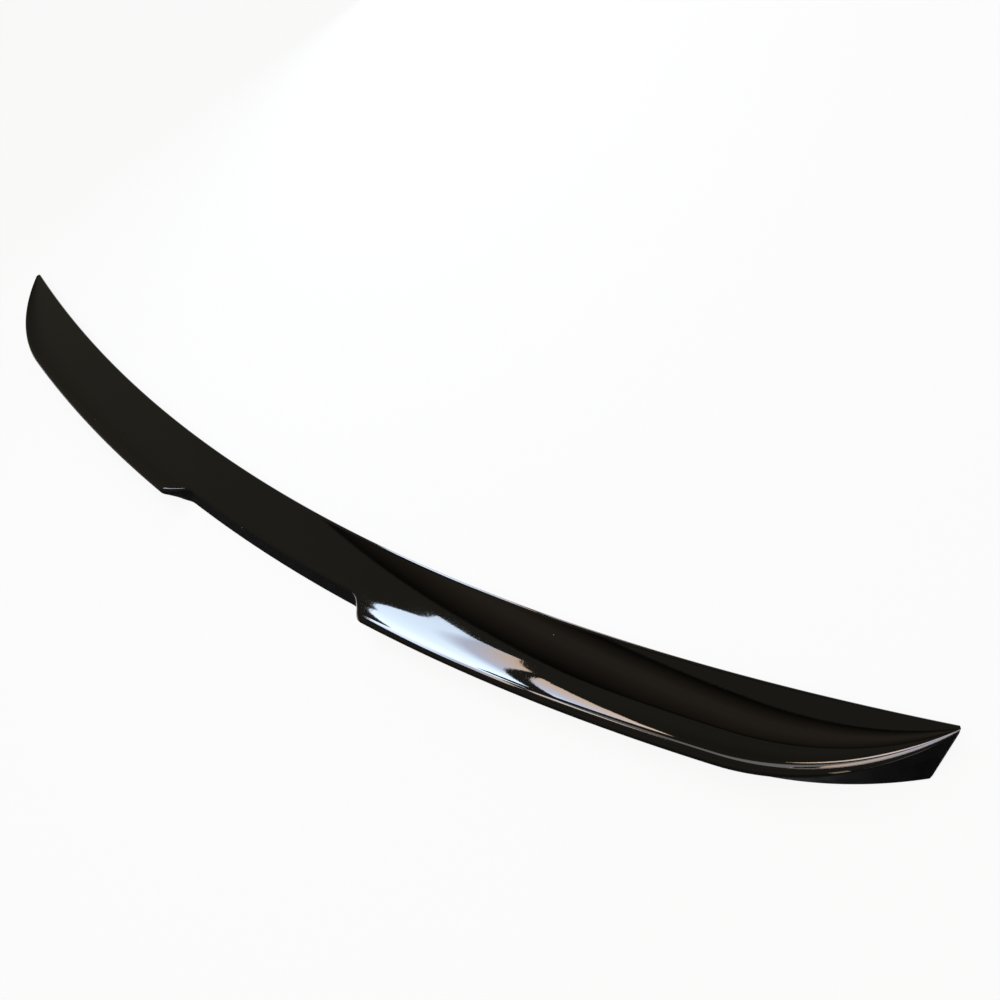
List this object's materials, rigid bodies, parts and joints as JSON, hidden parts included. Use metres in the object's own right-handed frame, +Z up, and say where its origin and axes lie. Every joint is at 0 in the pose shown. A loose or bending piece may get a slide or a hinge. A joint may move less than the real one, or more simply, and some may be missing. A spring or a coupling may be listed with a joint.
{
  "type": "car rear spoiler",
  "caption": "Bowed boot-lid lip spoiler: a thin dished blade that sweeps up into rounded trailing lips, with a centre notch, end cheeks and a ribbed hollow underside.",
  "frame": {"origin": "middle of the spoiler's footprint, on the surface it rests on", "axes": "+X across the car to its right, +Y forwards along the car, +Z up"},
  "size_m": [1.2032, 0.1491, 0.0245],
  "materials": {
    "gloss_black": "piano-black gloss on the outside, plain moulded black on the rear wall, end cheeks and underside"
  },
  "bodies": {
    "root": {"spoiler": "gloss_black"}
  },
  "joints": []
}
